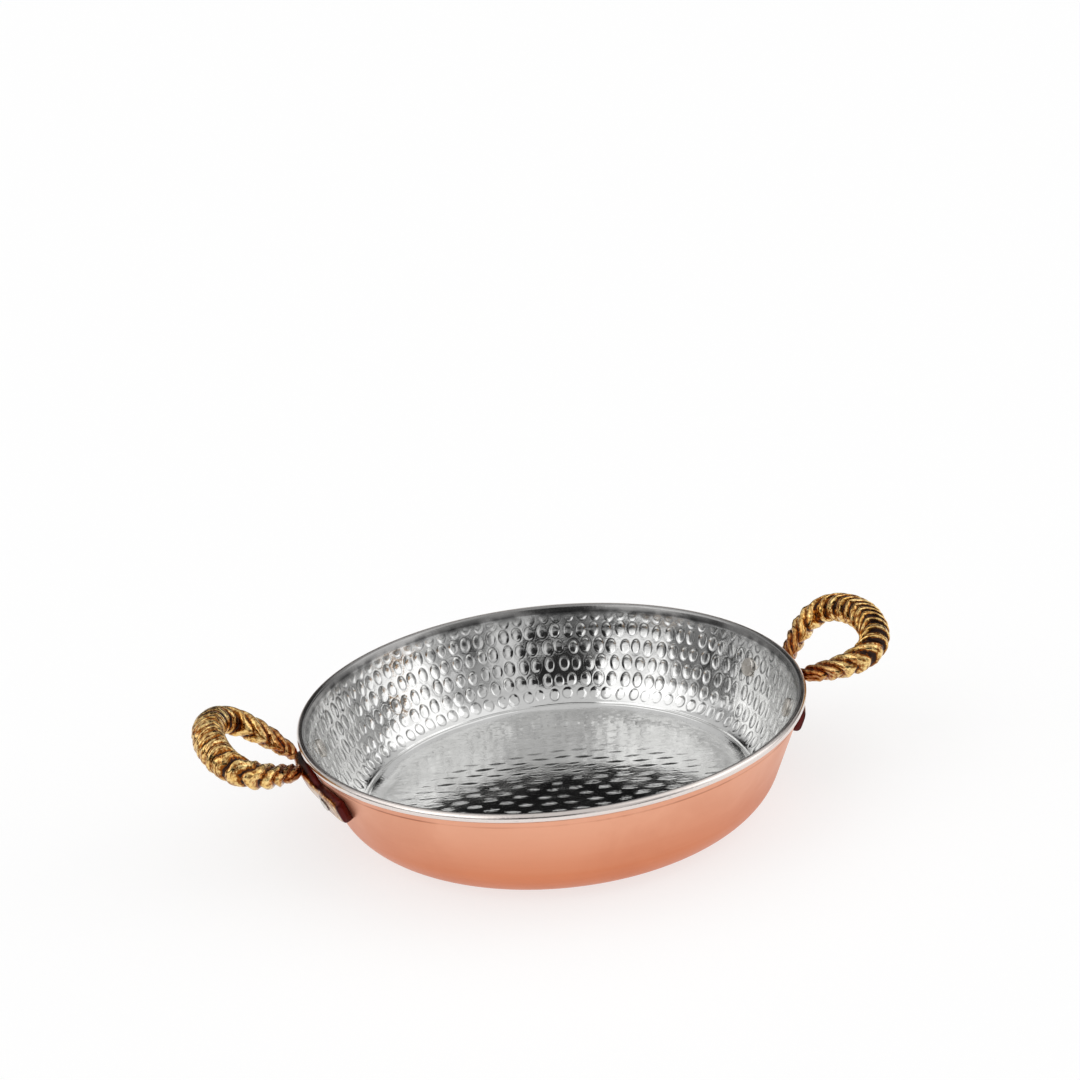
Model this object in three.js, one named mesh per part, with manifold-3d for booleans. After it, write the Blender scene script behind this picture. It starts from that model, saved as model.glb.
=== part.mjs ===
// A two-handled copper pan, tinned inside, with rope-twist brass handles riveted on.
// Millimetres, +Z up. The origin lies on the table, at the middle of the pan's resting face.
// The handles point along +X and -X, and the front is -Y.
import * as THREE from "three";
import { mergeVertices } from "three/addons/utils/BufferGeometryUtils.js";
import Module from "manifold-3d";

// The pan as a whole
const rimDiameter = 200;
const panHeight = 43.2;
const baseDiameter = 139;

// Sheets, and the gap that stands for two faces pressed together
const bodySheet = 0.9;
const liningSheet = 0.5;
const pieceGap = 0.3;

// The outline of the wall: a corner arc, then a straight slope up to the rolled rim
const cornerRadius = 20;
const beadDiameter = 3.2;
const beadShoulderStart = THREE.MathUtils.degToRad(-60);
const wallLean = 0.2;

// The riveted plate of a handle
const plateLength = 72;
const plateThickness = 3.7;
const plateMiddleThickness = 5.2;
const earHeight = 10.4;
const earCentreHeight = 29.6;
const plateMiddleHeight = 11;
const plateMiddleRise = 3.4;
const plateBackDepth = 0.8;

// The left handle sits a little off the line through the middle of the right one
const leftHandleSkew = THREE.MathUtils.degToRad(1);

// The rope loop of a handle
const legBaseSink = 1.6;
const legBaseRise = 5.4;
const legBaseSpacing = 12;
const loopReach = 36.6;
const loopShoulderReach = 31.8;
const loopShoulderWidth = 93.4;
const loopEndWidth = 20;
const loopTilt = THREE.MathUtils.degToRad(28.2);
const legRopeDiameter = 4;
const endRopeDiameter = 13.2;
const ribDepth = 1.1;
const ribSlant = 3.3;
const ribChevron = 4.6;

// The rivets, which sit a little below the middle of the ears and inwards from their ends
const rivetEndInset = 13.5;
const rivetDrop = 0.8;
const shankDiameter = 4;
const innerHeadDiameter = 7.8;
const innerHeadThickness = 1;
const innerHeadEdge = 0.25;
const outerHeadDiameter = 5.6;
const outerHeadEdge = 0.25;
const outerHeadRise = 0.8;
const cutOverrun = 4;

// Counts and shares
const wallSegments = 72;
const cornerSteps = 7;
const wallSteps = 2;
const beadSteps = 9;
const beadShoulderSteps = 5;
const plateRings = 30;
const plateAround = 12;
const ropeRibs = 20;
const ringsPerRib = 4;
const ropeAround = 12;
const rivetSegments = 16;
const domeSteps = 3;
const ribCrowdingShare = 0.2;
const ropeSwellPower = 0.6;
const slantFadeShare = 0.06;
const plateHumpShare = 0.3;
const plateHumpPower = 4;
const earTipPower = 5;
const earTipShare = 0.7;
const plateSquarePower = 0.6;
const plateCrownPower = 0.5;

// Worked out from the values above
const rimRadius = rimDiameter / 2;
const baseRadius = baseDiameter / 2;
const beadRadius = beadDiameter / 2;
const liningInset = bodySheet + pieceGap;
const wallThickness = liningInset + liningSheet;
const wallTopRadius = rimRadius - beadDiameter - wallLean + wallThickness;
const wallTopHeight = panHeight - beadDiameter - pieceGap;
const beadCentre = new THREE.Vector2(rimRadius - beadRadius, panHeight - beadRadius);
const leftHandleTurn = Math.PI + leftHandleSkew;
const plateMiddleCentreHeight = earCentreHeight + plateMiddleRise;
const legBaseHeight = earCentreHeight + legBaseRise;
const rivetHeight = earCentreHeight - rivetDrop;
const rivetSpacing = plateLength - 2 * rivetEndInset;
const up = new THREE.Vector3(0, 1, 0);

// The straight slope of the wall leaves the corner arc as its tangent and ends at the wall's top
const cornerCentre = new THREE.Vector2(baseRadius, cornerRadius);
const wallTop = new THREE.Vector2(wallTopRadius, wallTopHeight);
const topReach = wallTop.clone().sub(cornerCentre);
const slopeLength = Math.sqrt(topReach.lengthSq() - cornerRadius ** 2);
const wallSlope = topReach.angle() + Math.atan2(cornerRadius, slopeLength);

const wasm = await Module();
wasm.setup();

// The point of the corner arc, drawn with the given radius, where it has the given slope
function cornerPoint(radius, slope) {
  const reach = new THREE.Vector2(radius * Math.sin(slope), -radius * Math.cos(slope));
  return reach.add(cornerCentre);
}

// The slope of the wall at a height, and the radius of its outside there
function wallSlopeAt(height) {
  return Math.min(wallSlope, Math.acos(Math.max(-1, 1 - height / cornerRadius)));
}

function wallRadiusAt(height) {
  const slope = wallSlopeAt(height);
  const foot = cornerPoint(cornerRadius, slope);
  return foot.x + (height - foot.y) / Math.tan(slope);
}

// The pan's outline from the axis to the top of the wall, moved inwards by the inset
function wallPath(inset) {
  const points = [new THREE.Vector2(0, inset)];
  for (let i = 0; i <= cornerSteps; i += 1) {
    points.push(cornerPoint(cornerRadius - inset, (wallSlope * i) / cornerSteps));
  }
  const foot = points.at(-1).clone();
  const rise = new THREE.Vector2(Math.cos(wallSlope), Math.sin(wallSlope));
  for (let i = 1; i <= wallSteps; i += 1) {
    points.push(foot.clone().addScaledVector(rise, (slopeLength * i) / wallSteps));
  }
  return points;
}

// Part of a circle about the rolled rim, between two angles from the outward direction
function beadArc(radius, from, to, steps) {
  const points = [];
  for (let i = 0; i <= steps; i += 1) {
    const angle = from + ((to - from) * i) / steps;
    const reach = new THREE.Vector2(radius * Math.cos(angle), radius * Math.sin(angle));
    points.push(reach.add(beadCentre));
  }
  return points;
}

// A lathe turns about +Y, and the pan stands along +Z
function turned(points, segments) {
  const geometry = new THREE.LatheGeometry(points, segments);
  geometry.rotateX(Math.PI / 2);
  return geometry;
}

function toSolid(geometry) {
  const bare = geometry.clone();
  bare.deleteAttribute("normal");
  bare.deleteAttribute("uv");
  const closed = mergeVertices(bare);
  const vertProperties = new Float32Array(closed.getAttribute("position").array);
  const triVerts = new Uint32Array(closed.getIndex().array);
  return new wasm.Manifold(new wasm.Mesh({ numProp: 3, vertProperties, triVerts }));
}

function toGeometry(solid) {
  const mesh = solid.getMesh();
  const geometry = new THREE.BufferGeometry();
  geometry.setAttribute("position", new THREE.BufferAttribute(mesh.vertProperties, mesh.numProp));
  geometry.setIndex(new THREE.BufferAttribute(mesh.triVerts, 1));
  return geometry;
}

// A closed body from a unit cylinder: each point is moved by the place function, which gets
// the share of the way along, the turn round the section, and 0 or 1 for its centre or edge
function sweptBody(rings, around, place) {
  const geometry = new THREE.CylinderGeometry(1, 1, 1, around, rings);
  const points = geometry.getAttribute("position");
  for (let i = 0; i < points.count; i += 1) {
    const alongShare = 0.5 - points.getY(i);
    const turn = Math.atan2(points.getX(i), points.getZ(i));
    const edgeShare = Math.round(Math.hypot(points.getX(i), points.getZ(i)));
    const moved = place(alongShare, turn, edgeShare);
    points.setXYZ(i, moved.x, moved.y, moved.z);
  }
  return geometry;
}

function signedPower(value, power) {
  return Math.sign(value) * Math.abs(value) ** power;
}

// The plate of the handle at +X, curved to the wall, with an ear for a rivet at each end
function handlePlate() {
  const plateRadius = wallRadiusAt(earCentreHeight);
  return sweptBody(plateRings, plateAround, (alongShare, turn, edgeShare) => {
    const sideShare = 2 * alongShare - 1;
    const humpShare = Math.exp(-(Math.abs(sideShare / plateHumpShare) ** plateHumpPower));
    const roundShare = Math.sqrt(1 - Math.abs(sideShare) ** earTipPower);
    const tipShare = earTipShare + (1 - earTipShare) * roundShare;
    const height = THREE.MathUtils.lerp(earHeight, plateMiddleHeight, humpShare) * tipShare;
    const centre = THREE.MathUtils.lerp(earCentreHeight, plateMiddleCentreHeight, humpShare);
    const thickness = THREE.MathUtils.lerp(plateThickness, plateMiddleThickness, humpShare);
    const upShare = edgeShare * signedPower(Math.sin(turn), plateSquarePower);
    const outShare = Math.max(0, edgeShare * Math.cos(turn)) ** plateCrownPower;
    const z = centre + (height / 2) * upShare;
    const back = pieceGap - plateBackDepth;
    const offset = back + (plateBackDepth + thickness) * outShare;
    const azimuth = (sideShare * (plateLength / 2)) / plateRadius;
    const slope = wallSlopeAt(z);
    const radius = wallRadiusAt(z) + offset * Math.sin(slope);
    return new THREE.Vector3(
      radius * Math.cos(azimuth),
      radius * Math.sin(azimuth),
      z - offset * Math.cos(slope),
    );
  });
}

// The centre line of the loop, in its own plane: x points away from the pan, y along the wall
function loopCentreLine() {
  const legBase = new THREE.Vector2(0, legBaseSpacing / 2);
  const shoulder = new THREE.Vector2(loopShoulderReach, loopShoulderWidth / 2);
  const bend = new THREE.Vector2(loopReach, loopEndWidth / 2);
  const end = new THREE.Vector2(loopReach, 0);
  const mirrored = (point) => new THREE.Vector2(point.x, -point.y);
  const line = new THREE.CurvePath();
  line.add(new THREE.CubicBezierCurve(mirrored(legBase), mirrored(shoulder), mirrored(bend), end));
  line.add(new THREE.CubicBezierCurve(end, bend, shoulder, legBase));
  return line;
}

// The rope loop of the handle at +X. Its rings follow the ribs, which slant on the legs and
// meet in a chevron round the outer end. The side is 1 or -1, and turns the chevron round.
function handleRope(side) {
  const line = loopCentreLine();
  const length = line.getLength();
  const outwards = new THREE.Vector3(Math.cos(loopTilt), 0, Math.sin(loopTilt));
  const sideways = new THREE.Vector3(0, 1, 0);
  const above = new THREE.Vector3().crossVectors(outwards, sideways);
  const standOff = pieceGap + plateMiddleThickness - legBaseSink;
  const base = new THREE.Vector3(wallRadiusAt(legBaseHeight) + standOff, 0, legBaseHeight);
  return sweptBody(ropeRibs * ringsPerRib, ropeAround, (ringShare, turn, edgeShare) => {
    const outerShare = -Math.sin(turn) * edgeShare;
    const fadeShare = Math.min(1, ringShare / slantFadeShare, (1 - ringShare) / slantFadeShare);
    const crowded = (ribCrowdingShare * Math.sin(2 * Math.PI * ringShare)) / (2 * Math.PI);
    const slant = ribSlant * Math.cos(Math.PI * ringShare) * outerShare;
    const chevron = side * ribChevron * Math.sin(Math.PI * ringShare) ** 2 * Math.abs(outerShare);
    const lineShare = ringShare + crowded + (fadeShare * (slant - chevron)) / length;
    const swellShare = Math.max(0, Math.sin(Math.PI * lineShare)) ** ropeSwellPower;
    const crest = THREE.MathUtils.lerp(legRopeDiameter, endRopeDiameter, swellShare) / 2;
    const grooveShare = 1 - Math.abs(Math.sin(Math.PI * ropeRibs * ringShare));
    const radius = (crest - ribDepth * grooveShare) * edgeShare;
    const along = line.getPoint(lineShare);
    const heading = line.getTangent(lineShare);
    const ahead = outwards.clone().multiplyScalar(heading.x).addScaledVector(sideways, heading.y);
    const inwards = new THREE.Vector3().crossVectors(above, ahead).normalize();
    return base
      .clone()
      .addScaledVector(outwards, along.x)
      .addScaledVector(sideways, along.y)
      .addScaledVector(inwards, radius * Math.sin(turn))
      .addScaledVector(above, radius * Math.cos(turn));
  });
}

// Everything inside the pan's outer faces, grown by the gap: what a handle is cut back by
function panEnvelope() {
  const wall = wallPath(-pieceGap);
  const bead = beadArc(beadRadius + pieceGap, beadShoulderStart, Math.PI / 2, beadShoulderSteps);
  const top = new THREE.Vector2(0, panHeight + pieceGap);
  return toSolid(turned([...wall, ...bead, top], wallSegments));
}

// Where a rivet stands on the outside of the wall, and the way it points
function rivetSeat(side) {
  const slope = wallSlopeAt(rivetHeight);
  const radius = wallRadiusAt(rivetHeight);
  const azimuth = side * Math.asin(rivetSpacing / 2 / radius);
  const point = new THREE.Vector3(radius * Math.cos(azimuth), radius * Math.sin(azimuth), rivetHeight);
  const flat = Math.sin(slope);
  const normal = new THREE.Vector3(flat * Math.cos(azimuth), flat * Math.sin(azimuth), -Math.cos(slope));
  return { point, turn: new THREE.Quaternion().setFromUnitVectors(up, normal) };
}

// A rivet along +Y, with Y = 0 on the outside of the copper wall: a flat head inside the pan,
// the shank through lining, body and plate, and a domed head on the plate
const outerSeat = pieceGap + plateThickness + pieceGap;
const innerSeat = -(wallThickness + pieceGap);

function rivetGeometry() {
  const innerRadius = innerHeadDiameter / 2;
  const outerRadius = outerHeadDiameter / 2;
  const innerEnd = innerSeat - innerHeadThickness;
  const points = [
    new THREE.Vector2(0, innerEnd),
    new THREE.Vector2(innerRadius - innerHeadEdge, innerEnd),
    new THREE.Vector2(innerRadius, innerEnd + innerHeadEdge),
    new THREE.Vector2(innerRadius, innerSeat),
    new THREE.Vector2(shankDiameter / 2, innerSeat),
    new THREE.Vector2(shankDiameter / 2, outerSeat),
    new THREE.Vector2(outerRadius, outerSeat),
  ];
  for (let i = 0; i <= domeSteps; i += 1) {
    const angle = (Math.PI / 2) * (i / domeSteps);
    const rise = outerHeadEdge + (outerHeadRise - outerHeadEdge) * Math.sin(angle);
    points.push(new THREE.Vector2(outerRadius * Math.max(0, Math.cos(angle)), outerSeat + rise));
  }
  points.at(-1).x = 0;
  return new THREE.LatheGeometry(points, rivetSegments);
}

// The hole that a rivet's shank passes through, in the frame of its seat
function rivetHole(side) {
  const radius = shankDiameter / 2 + pieceGap;
  const length = outerSeat - innerSeat + 2 * cutOverrun;
  const hole = new THREE.CylinderGeometry(radius, radius, length, rivetSegments);
  const seat = rivetSeat(side);
  hole.translate(0, (outerSeat + innerSeat) / 2, 0);
  hole.applyQuaternion(seat.turn);
  hole.translate(seat.point.x, seat.point.y, seat.point.z);
  return hole;
}

// All four holes, for the pieces that go all the way round
function drilled(solid) {
  let result = solid;
  for (const turn of [0, leftHandleTurn]) {
    for (const side of [-1, 1]) {
      result = result.subtract(toSolid(rivetHole(side).rotateZ(turn)));
    }
  }
  return toGeometry(result);
}

// The copper body: one spun sheet with an open top edge that stands under the rolled rim
function bodyGeometry() {
  const outside = wallPath(0);
  const inside = wallPath(bodySheet).reverse();
  return drilled(toSolid(turned([...outside, ...inside], wallSegments)));
}

// The tinned lining: the inside face, the rolled rim that caps the copper, and the back face
function liningGeometry() {
  const inside = wallPath(wallThickness).reverse();
  const back = wallPath(liningInset);
  const backShare = (beadRadius + wallLean - liningSheet) / beadRadius;
  const underAngle = -Math.acos(-backShare);
  const innerAngle = Math.PI / 2 + wallSlope;
  const rim = beadArc(beadRadius, underAngle, innerAngle, beadSteps);
  return drilled(toSolid(turned([...back, ...rim, ...inside], wallSegments)));
}

function handleGeometry(side) {
  let solid = toSolid(handlePlate()).add(toSolid(handleRope(side)));
  solid = solid.subtract(panEnvelope());
  for (const rivetSide of [-1, 1]) {
    solid = solid.subtract(toSolid(rivetHole(rivetSide)));
  }
  return toGeometry(solid);
}

function copper() {
  return new THREE.MeshStandardMaterial({ color: 0xd98a68, roughness: 0.38, metalness: 1 });
}

function tin() {
  return new THREE.MeshStandardMaterial({ color: 0xc9c9c8, roughness: 0.24, metalness: 1 });
}

function brass() {
  return new THREE.MeshStandardMaterial({ color: 0xb8893f, roughness: 0.34, metalness: 1 });
}

function rivetSteel() {
  return new THREE.MeshStandardMaterial({ color: 0xb9b4ad, roughness: 0.36, metalness: 1 });
}

function namedMesh(name, geometry, material) {
  const mesh = new THREE.Mesh(geometry, material);
  mesh.name = name;
  return mesh;
}

// One handle with its two rivets, built at +X and turned to its place
function handleGroup(name, turn, side) {
  const group = new THREE.Group();
  group.add(namedMesh(`handle_${name}`, handleGeometry(side), brass()));
  for (const rivetSide of [-1, 1]) {
    const place = rivetSide * side < 0 ? "front" : "back";
    const rivet = namedMesh(`rivet_${name}_${place}`, rivetGeometry(), rivetSteel());
    const seat = rivetSeat(rivetSide);
    rivet.position.copy(seat.point);
    rivet.quaternion.copy(seat.turn);
    group.add(rivet);
  }
  group.rotation.z = turn;
  return group;
}

const pan = new THREE.Group();
pan.add(namedMesh("copper_body", bodyGeometry(), copper()));
pan.add(namedMesh("tin_lining", liningGeometry(), tin()));
pan.add(handleGroup("right", 0, 1));
pan.add(handleGroup("left", leftHandleTurn, -1));

export default pan;
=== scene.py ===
import math
from functools import partial

import bpy
import numpy as np
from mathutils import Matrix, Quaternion, Vector
from mathutils.kdtree import KDTree


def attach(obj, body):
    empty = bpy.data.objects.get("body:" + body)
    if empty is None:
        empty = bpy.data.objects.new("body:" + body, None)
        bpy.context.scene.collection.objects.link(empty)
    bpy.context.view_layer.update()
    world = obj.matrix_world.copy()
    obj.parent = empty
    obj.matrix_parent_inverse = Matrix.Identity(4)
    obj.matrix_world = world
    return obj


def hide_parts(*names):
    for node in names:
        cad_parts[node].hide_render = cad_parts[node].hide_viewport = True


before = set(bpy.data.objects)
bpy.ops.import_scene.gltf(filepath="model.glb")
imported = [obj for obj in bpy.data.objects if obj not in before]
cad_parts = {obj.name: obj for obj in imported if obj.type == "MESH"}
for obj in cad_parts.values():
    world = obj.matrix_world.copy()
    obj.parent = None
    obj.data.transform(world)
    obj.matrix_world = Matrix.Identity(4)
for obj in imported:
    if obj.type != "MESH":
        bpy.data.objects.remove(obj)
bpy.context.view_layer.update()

# Lengths are written in millimetres, as in the part's source, and the scene is in metres
MM = 0.001

# The pan's outline, the same as the solids have
RIM_RADIUS = 100.0
PAN_HEIGHT = 43.2
BASE_RADIUS = 69.5
CORNER_RADIUS = 20.0
BEAD_RADIUS = 1.6
BODY_SHEET = 0.9
LINING_SHEET = 0.5
PIECE_GAP = 0.3
WALL_LEAN = 0.2
LINING_INSET = BODY_SHEET + PIECE_GAP
WALL_THICKNESS = LINING_INSET + LINING_SHEET
BEAD_CENTRE = np.array([RIM_RADIUS - BEAD_RADIUS, PAN_HEIGHT - BEAD_RADIUS])
WALL_TOP = np.array([
    RIM_RADIUS - 2 * BEAD_RADIUS - WALL_LEAN + WALL_THICKNESS,
    PAN_HEIGHT - 2 * BEAD_RADIUS - PIECE_GAP,
])
CORNER_CENTRE = np.array([BASE_RADIUS, CORNER_RADIUS])
TOP_REACH = WALL_TOP - CORNER_CENTRE
SLOPE_LENGTH = math.sqrt(TOP_REACH @ TOP_REACH - CORNER_RADIUS**2)
WALL_SLOPE = math.atan2(TOP_REACH[1], TOP_REACH[0]) + math.atan2(CORNER_RADIUS, SLOPE_LENGTH)

# The handles
EAR_CENTRE_HEIGHT = 29.6
EAR_HEIGHT = 10.4
PLATE_LENGTH = 72.0
PLATE_THICKNESS = 3.7
PLATE_MIDDLE_THICKNESS = 5.2
PLATE_MIDDLE_HEIGHT = 11.0
PLATE_MIDDLE_RISE = 3.4
PLATE_BACK_DEPTH = 0.8
LEG_BASE_SINK = 1.6
LEG_BASE_RISE = 5.4
LEG_BASE_SPACING = 12.0
LOOP_REACH = 36.6
LOOP_SHOULDER_REACH = 31.8
LOOP_SHOULDER_WIDTH = 93.4
LOOP_END_WIDTH = 20.0
LOOP_TILT = math.radians(28.2)
LEG_ROPE_DIAMETER = 4.0
END_ROPE_DIAMETER = 13.2
ROPE_RIBS = 20
RIB_SLANT = 3.3
RIB_CHEVRON = 4.6
LEFT_HANDLE_TURN = math.pi + math.radians(1.0)

# The rivets
RIVET_SPACING = 45.0
RIVET_DROP = 0.8
SHANK_RADIUS = 2.0
INNER_HEAD_RADIUS = 3.9
INNER_HEAD_THICKNESS = 1.0
OUTER_HEAD_RADIUS = 2.8
OUTER_HEAD_RISE = 0.8
OUTER_HEAD_EDGE = 0.2
HEAD_ROUNDING = 0.6
SEAT_GAP = 0.1
HOLE_CLEARANCE = 0.15
DRILL_OVERRUN = 4.0

# The photo's camera: it looks at a point on the pan's axis from this far off
AIM_HEIGHT = 35.0
CAMERA_DISTANCE = 714.3
CAMERA_AZIMUTH = math.radians(-11.69)
CAMERA_ELEVATION = 0.42695
CAMERA_ROLL = -0.09888
AIM_PIXEL = (551.87, 714.13)
PHOTO_SIZE = 1080
LENS = 60.0
SENSOR = 36.0

chance = np.random.default_rng(7)


def lerp(a, b, share):
    return a + (b - a) * share


def smooth_share(value, low, high):
    """0 below low, 1 above high, and an even rise between"""
    share = np.clip((value - low) / (high - low), 0, 1)
    return share * share * (3 - 2 * share)


def bell(value, middle, width):
    """1 at the middle, and an even fall to 0 on both sides"""
    return np.exp(-(((value - middle) / width) ** 2))


def corner_point(radius, slope):
    return np.array([radius * math.sin(slope), -radius * math.cos(slope)]) + CORNER_CENTRE


def wall_slope_at(height):
    return np.minimum(WALL_SLOPE, np.arccos(np.clip(1 - height / CORNER_RADIUS, -1, 1)))


def wall_radius_at(height):
    slope = wall_slope_at(height)
    foot_radius = BASE_RADIUS + CORNER_RADIUS * np.sin(slope)
    foot_height = CORNER_RADIUS - CORNER_RADIUS * np.cos(slope)
    return foot_radius + (height - foot_height) / np.tan(slope)


def wall_path(inset, corner_steps, wall_steps):
    """Outline points from the edge of the base up to the wall's top, moved inwards by the inset"""
    slopes = [WALL_SLOPE * i / corner_steps for i in range(corner_steps + 1)]
    corner = [corner_point(CORNER_RADIUS - inset, slope) for slope in slopes]
    rise = np.array([math.cos(WALL_SLOPE), math.sin(WALL_SLOPE)])
    straight = [corner[-1] + rise * SLOPE_LENGTH * i / wall_steps for i in range(1, wall_steps + 1)]
    return corner + straight


def add_object(name, data):
    thing = bpy.data.objects.new(name, data)
    bpy.context.scene.collection.objects.link(thing)
    return thing


def make_piece(name, points, quads, triangles=()):
    """A smooth-shaded mesh object from points in millimetres"""
    mesh = bpy.data.meshes.new(name)
    quads = np.asarray(quads, int).reshape(-1, 4)
    triangles = np.asarray(triangles, int).reshape(-1, 3)
    corners = np.concatenate([quads.ravel(), triangles.ravel()])
    sizes = np.concatenate([np.full(len(quads), 4), np.full(len(triangles), 3)])
    starts = np.concatenate([[0], np.cumsum(sizes)[:-1]])
    mesh.vertices.add(len(points))
    mesh.vertices.foreach_set("co", (np.asarray(points, float) * MM).astype(np.float32).ravel())
    mesh.loops.add(len(corners))
    mesh.loops.foreach_set("vertex_index", corners.astype(np.int32))
    mesh.polygons.add(len(sizes))
    mesh.polygons.foreach_set("loop_start", starts.astype(np.int32))
    mesh.polygons.foreach_set("use_smooth", np.ones(len(sizes), bool))
    mesh.update(calc_edges=True)
    mesh.validate()
    return add_object(name, mesh)


def ring_quads(low, high):
    """Quads between two rings of the same number of points, given by their point numbers"""
    return np.stack([low, np.roll(low, -1), np.roll(high, -1), high], 1)


def halving_triangles(fine, coarse):
    """Triangles from a ring of points to one with half as many"""
    first, middle = fine[0::2], fine[1::2]
    third = np.roll(first, -1)
    after = np.roll(coarse, -1)
    return np.concatenate([
        np.stack([coarse, first, middle], 1),
        np.stack([coarse, middle, after], 1),
        np.stack([after, middle, third], 1),
    ])


def end_fans(low, high, first):
    """Triangles that close the first and last ring with two middle points, the first of them given"""
    return np.concatenate([
        np.stack([np.full(len(low), first), np.roll(low, -1), low], 1),
        np.stack([np.full(len(high), first + 1), high, np.roll(high, -1)], 1),
    ])


def turned_points(outline, turns):
    """An outline's points at each of the turns about the axis"""
    x = outline[:, :1] * np.cos(turns)
    y = outline[:, :1] * np.sin(turns)
    z = np.repeat(outline[:, 1:], len(turns), 1)
    return np.stack([x, y, z], 2).reshape(-1, 3)


def keep_values(piece, name, values):
    """Keeps a value at each point of a mesh, for its material"""
    kept = piece.data.attributes.new(name, "FLOAT", "POINT")
    kept.data.foreach_set("value", np.asarray(values, np.float32))


def lathe_piece(name, outline, segments, place=None):
    """Turns an outline that starts and ends on the axis. Place moves the points where given."""
    outline = np.asarray(outline, float)
    turns = np.arange(segments) * 2 * math.pi / segments
    inner = outline[1:-1]
    points = turned_points(inner, turns)
    ends = np.array([[0, 0, outline[0][1]], [0, 0, outline[-1][1]]])
    numbers = np.arange(len(inner) * segments).reshape(len(inner), segments)
    quads = np.concatenate([ring_quads(numbers[i], numbers[i + 1]) for i in range(len(inner) - 1)])
    triangles = end_fans(numbers[0], numbers[-1], len(points))
    points = np.concatenate([points, ends])
    if place is not None:
        points = place(points)
    return make_piece(name, points, quads, triangles)


def rivet_seat(side):
    """Where a rivet of the handle at +X stands on the outside of the wall, and the way it points"""
    height = EAR_CENTRE_HEIGHT - RIVET_DROP
    slope, radius = float(wall_slope_at(height)), float(wall_radius_at(height))
    azimuth = side * math.asin(RIVET_SPACING / 2 / radius)
    point = np.array([radius * math.cos(azimuth), radius * math.sin(azimuth), height])
    flat = math.sin(slope)
    normal = np.array([flat * math.cos(azimuth), flat * math.sin(azimuth), -math.cos(slope)])
    return point, normal


def turned_about_z(points, angle):
    c, s = math.cos(angle), math.sin(angle)
    return points @ np.array([[c, s, 0], [-s, c, 0], [0, 0, 1]])


def on_seat(points, side, turn):
    """Moves points that are turned about +Z onto a rivet's seat"""
    point, normal = rivet_seat(side)
    across = np.cross([0, 0, 1], normal)
    across /= np.linalg.norm(across)
    along = np.cross(normal, across)
    placed = points @ np.stack([across, along, normal]) + point
    return turned_about_z(placed, turn)


def settle(piece):
    """Applies the modifiers, so that the mesh holds its final shape"""
    graph = bpy.context.evaluated_depsgraph_get()
    solid = bpy.data.meshes.new_from_object(piece.evaluated_get(graph), depsgraph=graph)
    piece.modifiers.clear()
    piece.data = solid
    return piece


def cut(piece, tools, operation="DIFFERENCE"):
    """Cuts the tools from a piece, or joins them to it, and removes them"""
    for tool in tools:
        joint = piece.modifiers.new("cut", "BOOLEAN")
        joint.operation = operation
        joint.solver = "MANIFOLD"
        joint.object = tool
    settle(piece)
    for tool in tools:
        bpy.data.objects.remove(tool)
    return piece


INNER_SEAT = -(WALL_THICKNESS + SEAT_GAP)
OUTER_SEAT = PIECE_GAP + PLATE_THICKNESS + SEAT_GAP


def rivet_holes(turns):
    """The tools that drill the rivets' holes"""
    radius = SHANK_RADIUS + HOLE_CLEARANCE
    low, high = INNER_SEAT - DRILL_OVERRUN, OUTER_SEAT + DRILL_OVERRUN
    outline = [(0, low), (radius, low), (radius, high), (0, high)]
    return [
        lathe_piece("drill", outline, 40, lambda p, s=side, t=turn: on_seat(p, s, t))
        for turn in turns
        for side in (-1, 1)
    ]


# The copper body: one spun sheet with a faint turned groove below the rolled rim
GROOVE_DROP = 2.4
GROOVE_DEPTH = 0.16
GROOVE_WIDTH = 0.35
WALL_STEPS = 90


def copper_outline():
    """The section of the sheet, from the axis up the outside and down the inside"""
    outside = np.array(wall_path(0, 40, WALL_STEPS))
    slope_out = np.array([math.sin(WALL_SLOPE), -math.cos(WALL_SLOPE)])
    drop = WALL_TOP[1] - outside[:, 1]
    outside = outside - GROOVE_DEPTH * bell(drop, GROOVE_DROP, GROOVE_WIDTH)[:, None] * slope_out
    inside = np.array(wall_path(BODY_SHEET, 16, 4))[::-1]
    base = [(r, 0.0) for r in (20.0, 40.0, 60.0)]
    return [(0, 0), *base, *outside, *inside, (0, BODY_SHEET)]


copper_body = lathe_piece("copper_body_spun", copper_outline(), 384)
cut(copper_body, rivet_holes((0, LEFT_HANDLE_TURN)))


# The tinned bowl: hammer marks in rows up the wall and in rings over the floor. Places on its face
# are given by the distance from the middle, measured along the floor and up the wall.
SEGMENTS = 1536
FACE_CORNER = CORNER_RADIUS - WALL_THICKNESS
ARC_LENGTH = FACE_CORNER * WALL_SLOPE
FACE_LENGTH = BASE_RADIUS + ARC_LENGTH + SLOPE_LENGTH
CREASE_RADIUS = 78.3
CREASE_AT = BASE_RADIUS + FACE_CORNER * math.asin((CREASE_RADIUS - BASE_RADIUS) / FACE_CORNER)
CREASE_HALF_WIDTH = 1.2
CREASE_DEPTH = 0.36
CREASE_WIDTH = 0.36
LIP_RISE = 0.12
LIP_WIDTH = 0.4
LIP_BEFORE_CREASE = 0.8
FLOOR_MARKS_END = 72.6
WALL_HOLLOW = 0.45
WAVE_COUNT = 14
WAVE_RISE = 0.0016
FLOOR_WAVE_SHARE = 0.35


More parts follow.
